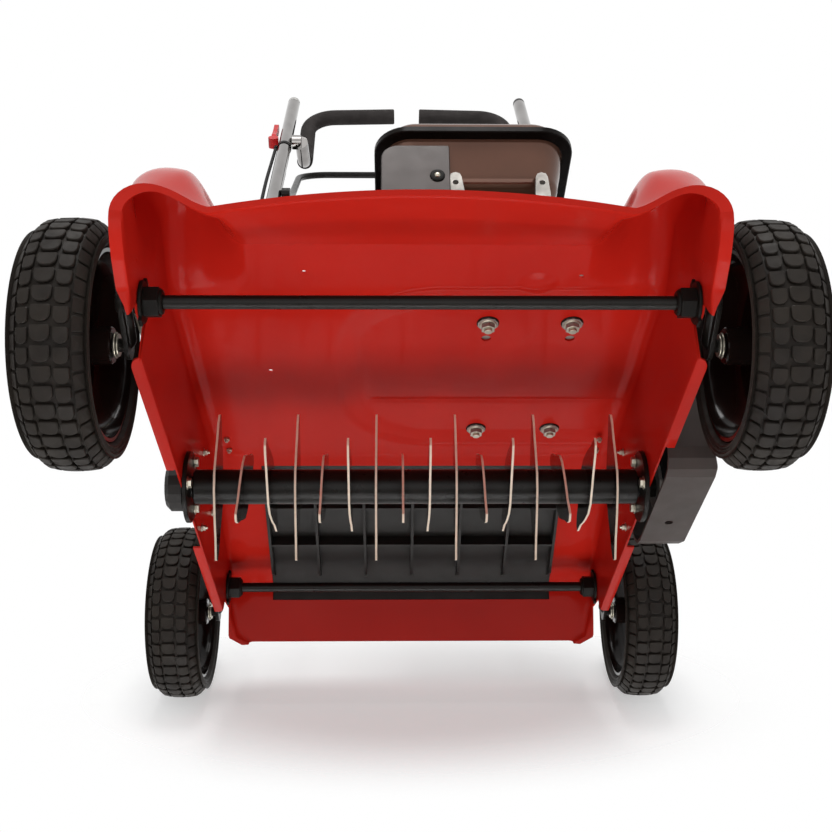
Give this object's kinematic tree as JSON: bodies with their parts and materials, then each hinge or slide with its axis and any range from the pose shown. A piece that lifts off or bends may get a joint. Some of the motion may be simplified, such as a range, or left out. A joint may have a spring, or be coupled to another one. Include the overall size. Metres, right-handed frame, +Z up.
{
  "type": "petrol lawn scarifier",
  "caption": "Walk-behind petrol lawn scarifier: pressed deck over a knife rotor, cranked depth axles with wheels, belt drive, engine with tank, discharge flap and folding grips.",
  "frame": {"origin": "on the ground under the middle of the overall length and width, machine standing on its four wheels", "axes": "+Z up, front of the machine towards -Y, its right-hand side in the picture towards +X"},
  "size_m": [0.596, 0.9235, 1.0621],
  "materials": {
    "deck_paint": "gloss red powder coat",
    "lever_red": "satin red plastic",
    "black_paint": "semi-gloss black",
    "bearing_paint": "satin black",
    "tank_paint": "gloss black",
    "black_plastic": "moulded black",
    "plug_plastic": "pale plug",
    "cover_plastic": "satin dark grey moulding",
    "flap_plastic": "ribbed black moulding",
    "rim_plastic": "gloss black",
    "shroud_grey": "satin grey",
    "zinc": "zinc plated",
    "bright_steel": "bright plated tube",
    "muffler_steel": "heat-stained steel",
    "cast_aluminium": "as cast",
    "tyre_rubber": "matt tread rubber",
    "belt_rubber": "matt black rubber",
    "foam": "soft dark grey foam",
    "cable_sheath": "black sheath"
  },
  "bodies": {
    "chassis": {"deck_housing": "deck_paint", "belt_cover": "cover_plastic", "bearing_cap_left": "black_plastic", "rotor_bearing_left": "bearing_paint", "rotor_bearing_right": "bearing_paint", "front_bushing_left": "black_plastic", "front_bushing_right": "black_plastic", "rear_bushing_left": "black_plastic", "rear_bushing_right": "black_plastic", "handle_bracket_left": "black_paint", "handle_bracket_right": "black_paint", "handle_leg_left": "bright_steel", "handle_leg_right": "bright_steel", "leg_plug_left": "plug_plastic", "leg_plug_right": "black_plastic", "control_cable": "cable_sheath", "depth_quadrant": "zinc", "crankcase": "cast_aluminium", "cylinder": "cast_aluminium", "valve_cover": "cast_aluminium", "muffler": "muffler_steel", "muffler_guard": "black_paint", "blower_housing": "black_plastic", "front_shroud": "shroud_grey", "air_cleaner": "black_plastic", "carburettor": "cast_aluminium", "fuel_tank": "tank_paint", "spark_plug_boot": "belt_rubber", "tank_bracket": "cast_aluminium", "drive_belt": "belt_rubber"},
    "rotor": {"knife_rotor": "zinc", "rotor_pulley": "cast_aluminium"},
    "crank": {"crankshaft": "bright_steel", "engine_pulley": "cast_aluminium"},
    "front_axle": {"front_axle_rod": "black_paint"},
    "rear_axle": {"rear_axle_rod": "black_paint", "depth_lever_grip": "lever_red"},
    "link_bar": {"depth_link_rod": "zinc"},
    "wheel_front_left": {"tyre_front_left": "tyre_rubber", "rim_front_left": "rim_plastic"},
    "wheel_front_right": {"tyre_front_right": "tyre_rubber", "rim_front_right": "rim_plastic"},
    "wheel_rear_left": {"tyre_rear_left": "tyre_rubber", "rim_rear_left": "rim_plastic"},
    "wheel_rear_right": {"tyre_rear_right": "tyre_rubber", "rim_rear_right": "rim_plastic"},
    "flap": {"rear_flap": "flap_plastic"},
    "grip_left": {"grip_bar_left": "bright_steel", "foam_grip_left": "foam"},
    "grip_right": {"grip_bar_right": "bright_steel", "foam_grip_right": "foam"},
    "release_left": {"quick_release_left": "lever_red"},
    "release_right": {"quick_release_right": "lever_red"},
    "bail_rod": {"bail": "black_paint"},
    "starter": {"starter_grip": "black_plastic"},
    "cap": {"fuel_cap": "black_plastic"},
    "throttle": {"throttle_lever": "zinc"}
  },
  "joints": [
    {"name": "rotor_spin", "type": "hinge", "parent": "chassis", "child": "rotor", "pos_m": [0, -0.11075, 0.09], "axis": [1, 0, 0], "continuous": true},
    {"name": "crank_spin", "type": "hinge", "parent": "chassis", "child": "crank", "pos_m": [0, -0.12875, 0.305], "axis": [1, 0, 0], "continuous": true},
    {"name": "front_axle_turn", "type": "hinge", "parent": "chassis", "child": "front_axle", "pos_m": [0, -0.37084, 0.11498], "axis": [1, 0, 0], "range_deg": [0, 44]},
    {"name": "rear_axle_turn", "type": "hinge", "parent": "chassis", "child": "rear_axle", "pos_m": [0, 0.19116, 0.11498], "axis": [1, 0, 0], "range_deg": [0, 44]},
    {"name": "link_turn", "type": "hinge", "parent": "front_axle", "child": "link_bar", "pos_m": [-0.2315, -0.35693, 0.15778], "axis": [1, 0, 0], "range_deg": [-44, 0]},
    {"name": "wheel_front_left_spin", "type": "hinge", "parent": "front_axle", "child": "wheel_front_left", "pos_m": [-0.2705, -0.33375, 0.1], "axis": [1, 0, 0], "continuous": true},
    {"name": "wheel_front_right_spin", "type": "hinge", "parent": "front_axle", "child": "wheel_front_right", "pos_m": [0.2705, -0.33375, 0.1], "axis": [1, 0, 0], "continuous": true},
    {"name": "wheel_rear_left_spin", "type": "hinge", "parent": "rear_axle", "child": "wheel_rear_left", "pos_m": [-0.2705, 0.22825, 0.1], "axis": [1, 0, 0], "continuous": true},
    {"name": "wheel_rear_right_spin", "type": "hinge", "parent": "rear_axle", "child": "wheel_rear_right", "pos_m": [0.2705, 0.22825, 0.1], "axis": [1, 0, 0], "continuous": true},
    {"name": "flap_lift", "type": "hinge", "parent": "chassis", "child": "flap", "pos_m": [0, 0.02975, 0.2095], "axis": [1, 0, 0], "range_deg": [0, 45]},
    {"name": "grip_left_fold", "type": "hinge", "parent": "chassis", "child": "grip_left", "pos_m": [-0.165, 0.25671, 0.885], "axis": [1, 0, 0], "range_deg": [0, 150]},
    {"name": "grip_right_fold", "type": "hinge", "parent": "chassis", "child": "grip_right", "pos_m": [0.165, 0.25671, 0.885], "axis": [1, 0, 0], "range_deg": [0, 150]},
    {"name": "release_left_open", "type": "hinge", "parent": "chassis", "child": "release_left", "pos_m": [-0.2081, 0.25671, 0.885], "axis": [0, -0.8988, 0.4384], "range_deg": [0, 110]},
    {"name": "release_right_open", "type": "hinge", "parent": "chassis", "child": "release_right", "pos_m": [0.2081, 0.25671, 0.885], "axis": [0, 0.8988, -0.4384], "range_deg": [0, 110]},
    {"name": "bail_squeeze", "type": "hinge", "parent": "chassis", "child": "bail_rod", "pos_m": [0, 0.16647, 0.7], "axis": [1, 0, 0], "range_deg": [0, 11], "stiffness_Nm_per_rad": 2, "springref_deg": -17.19},
    {"name": "starter_pull", "type": "slide", "parent": "chassis", "child": "starter", "axis": [-0.5998, 0.2999, 0.7418], "range_m": [0, 0.5], "stiffness_N_per_m": 10, "springref_m": -0.1},
    {"name": "cap_turn", "type": "hinge", "parent": "chassis", "child": "cap", "pos_m": [0.067, -0.07175, 0.528], "axis": [0, 0, 1], "range_deg": [0, 90]},
    {"name": "throttle_turn", "type": "hinge", "parent": "chassis", "child": "throttle", "pos_m": [0.034, 0.04125, 0.4075], "axis": [0, 0, -1], "range_deg": [0, 35]}
  ],
  "couplings": [
    {"joint": "crank_spin", "follows": "rotor_spin", "ratio": 1},
    {"joint": "rear_axle_turn", "follows": "front_axle_turn", "ratio": 1},
    {"joint": "link_turn", "follows": "front_axle_turn", "ratio": -1}
  ]
}
